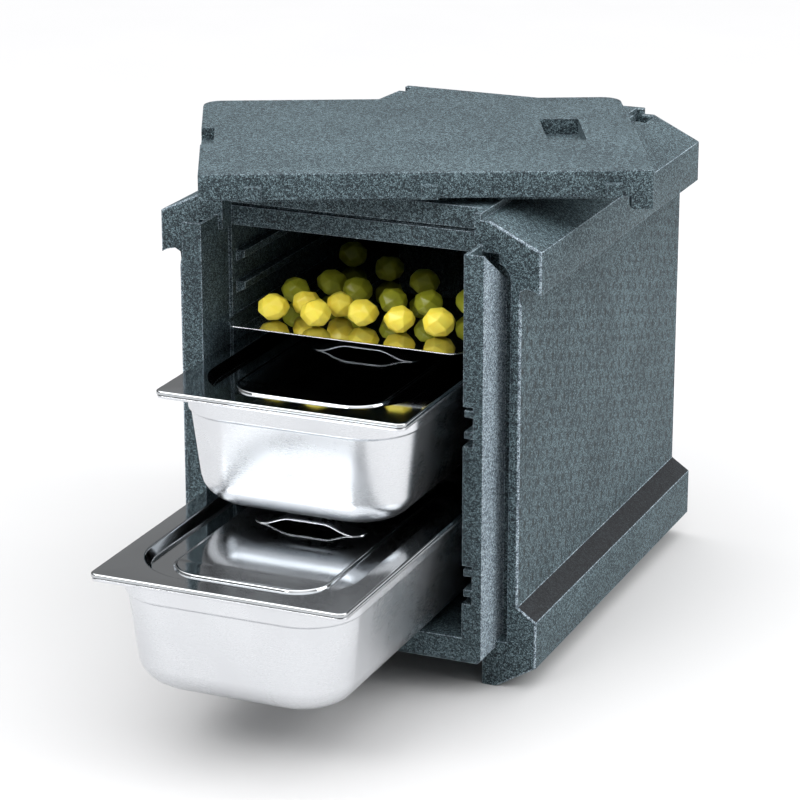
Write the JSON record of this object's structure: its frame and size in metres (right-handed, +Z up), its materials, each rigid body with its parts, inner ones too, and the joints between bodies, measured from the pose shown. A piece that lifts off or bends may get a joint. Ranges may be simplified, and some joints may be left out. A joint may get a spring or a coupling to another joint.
{
  "type": "insulated food carrier",
  "caption": "Front-loading insulated foam carrier with ribbed cavity, lift-off door resting on top, lidded catering pans partly drawn out and a flat tray of peeled potatoes.",
  "frame": {"origin": "on the floor under the feet, at the centre of the whole assembly's footprint", "axes": "+Z up; -Y out of the carrier's open front, the way the pans draw; +X to the right of someone facing that front from outside"},
  "size_m": [0.6568, 0.992, 0.6503],
  "materials": {
    "foam": "fine moulded bead foam, satin",
    "steel": "satin to bright stainless steel",
    "mirror_steel": "mirror-polished stainless steel",
    "peeled_potato": "moist, faceted by peeling"
  },
  "bodies": {
    "case": {"case": "foam"},
    "door": {"door": "foam"},
    "tray": {"tray": "mirror_steel", "potato_01": "peeled_potato", "potato_02": "peeled_potato", "potato_03": "peeled_potato", "potato_04": "peeled_potato", "potato_05": "peeled_potato", "potato_06": "peeled_potato", "potato_07": "peeled_potato", "potato_08": "peeled_potato", "potato_09": "peeled_potato", "potato_10": "peeled_potato", "potato_11": "peeled_potato", "potato_12": "peeled_potato", "potato_13": "peeled_potato", "potato_14": "peeled_potato", "potato_15": "peeled_potato", "potato_16": "peeled_potato"},
    "upper_pan": {"upper_pan": "steel"},
    "upper_lid": {"upper_lid": "steel", "upper_lid_handle": "steel"},
    "lower_pan": {"lower_pan": "steel"},
    "lower_lid": {"lower_lid": "steel", "lower_lid_handle": "steel"}
  },
  "joints": [
    {"name": "door_lift", "type": "slide", "parent": "case", "child": "door", "axis": [0, 0, 1], "range_m": [0, 0.25]},
    {"name": "tray_slide", "type": "slide", "parent": "case", "child": "tray", "axis": [0, -1, 0], "range_m": [-0.048, 0.3]},
    {"name": "upper_pan_slide", "type": "slide", "parent": "case", "child": "upper_pan", "axis": [0, -1, 0], "range_m": [-0.214, 0.2]},
    {"name": "upper_lid_lift", "type": "slide", "parent": "upper_pan", "child": "upper_lid", "axis": [0, 0, 1], "range_m": [0, 0.018]},
    {"name": "lower_pan_slide", "type": "slide", "parent": "case", "child": "lower_pan", "axis": [0, -1, 0], "range_m": [-0.406, 0.1]},
    {"name": "lower_lid_lift", "type": "slide", "parent": "lower_pan", "child": "lower_lid", "axis": [0, 0, 1], "range_m": [0, 0.005]}
  ]
}
